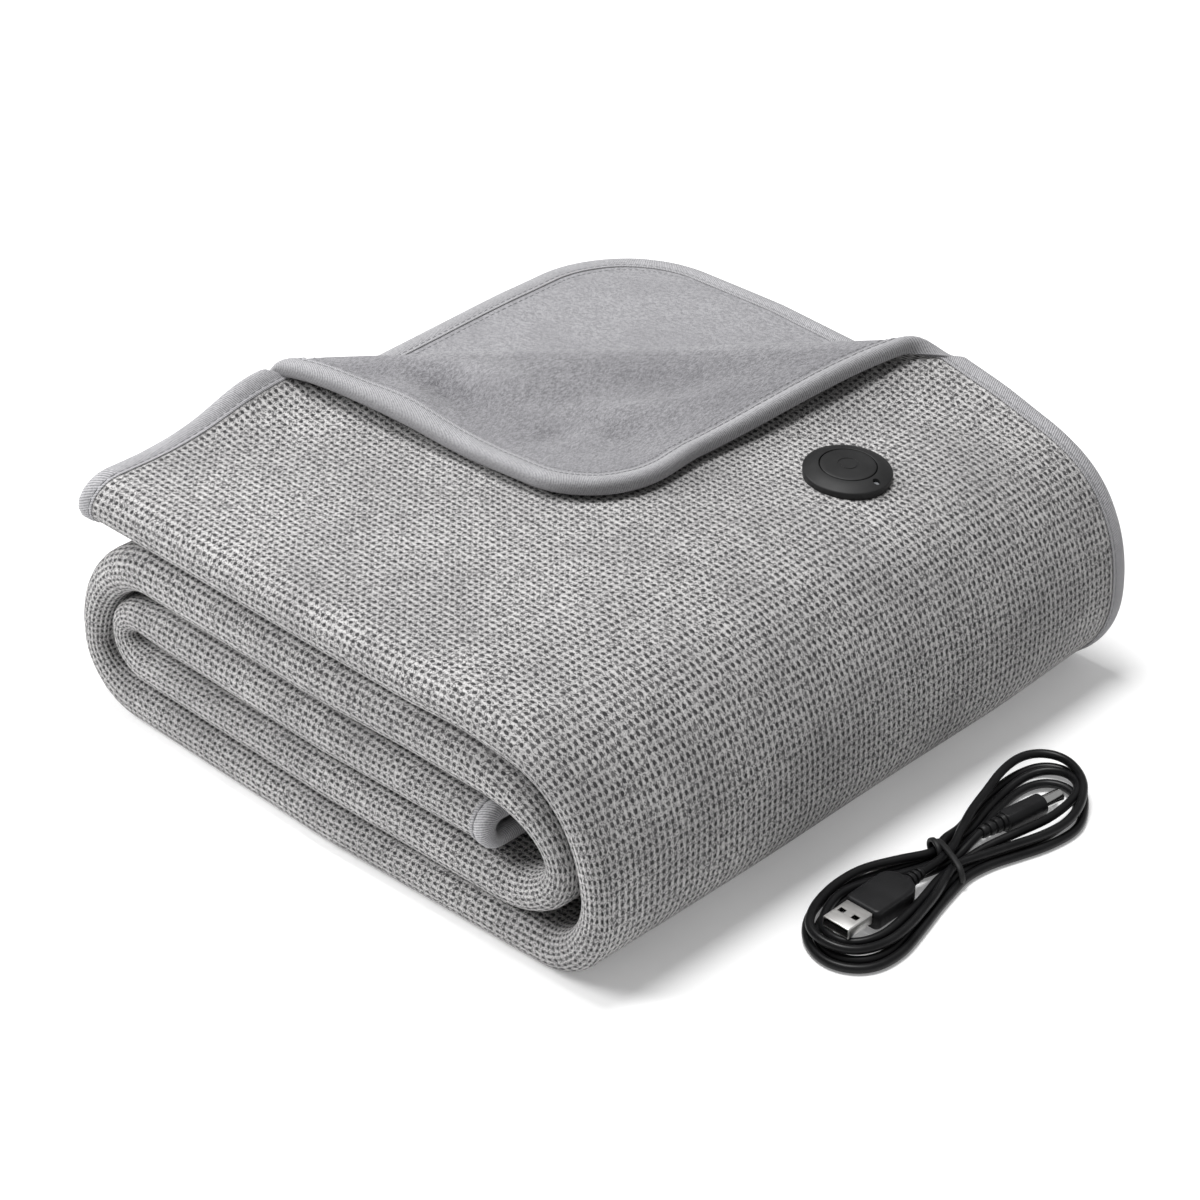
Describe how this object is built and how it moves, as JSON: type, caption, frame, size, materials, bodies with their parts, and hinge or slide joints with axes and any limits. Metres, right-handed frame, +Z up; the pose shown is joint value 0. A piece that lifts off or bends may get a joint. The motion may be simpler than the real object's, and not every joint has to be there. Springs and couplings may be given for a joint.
{
  "type": "electric heated blanket",
  "caption": "Heated throw blanket of knit and fleece with a bound edge, folded and rolled flat, one corner turned back, with a push-button control and a tied hank of power cable.",
  "frame": {"origin": "centre of the folded blanket's footprint, on the surface that it lies on", "axes": "+Z up; the lengthwise fold runs along the -Y side, both bound long edges lie at +Y, the outer end is at -X on top, and the cable lies beside the blanket at +X"},
  "size_m": [0.3435, 0.3092, 0.1249],
  "materials": {
    "heather_knit": "heathered light and dark grey knit, matte",
    "grey_fleece": "short cool grey pile, matte",
    "grey_twill_tape": "fine diagonal twill, matte",
    "black_housing": "fine matte moulding",
    "black_button": "fine matte moulding",
    "clear_light": "clear lens over a light",
    "black_cable": "smooth satin jacket",
    "black_tie": "smooth satin tie",
    "black_plug": "satin moulding",
    "plated_shell": "bright plated sheet",
    "bright_barrel": "bright plated"
  },
  "bodies": {
    "root": {"knit_face": "heather_knit", "fleece_lining": "grey_fleece", "edge_binding": "grey_twill_tape", "control_housing": "black_housing", "status_light": "clear_light", "cable_hank": "black_cable", "cable_tie": "black_tie", "usb_shell": "plated_shell", "usb_tongue": "black_plug", "usb_overmould": "black_plug", "usb_strain_relief": "black_plug", "dc_strain_relief": "black_plug", "dc_plug_body": "black_plug", "dc_barrel": "bright_barrel"},
    "button": {"control_button": "black_button"}
  },
  "joints": [
    {"name": "button_press", "type": "slide", "parent": "root", "child": "button", "axis": [-0.0822, 0, -0.9966], "range_m": [0, 0.0008], "stiffness_N_per_m": 2000}
  ]
}
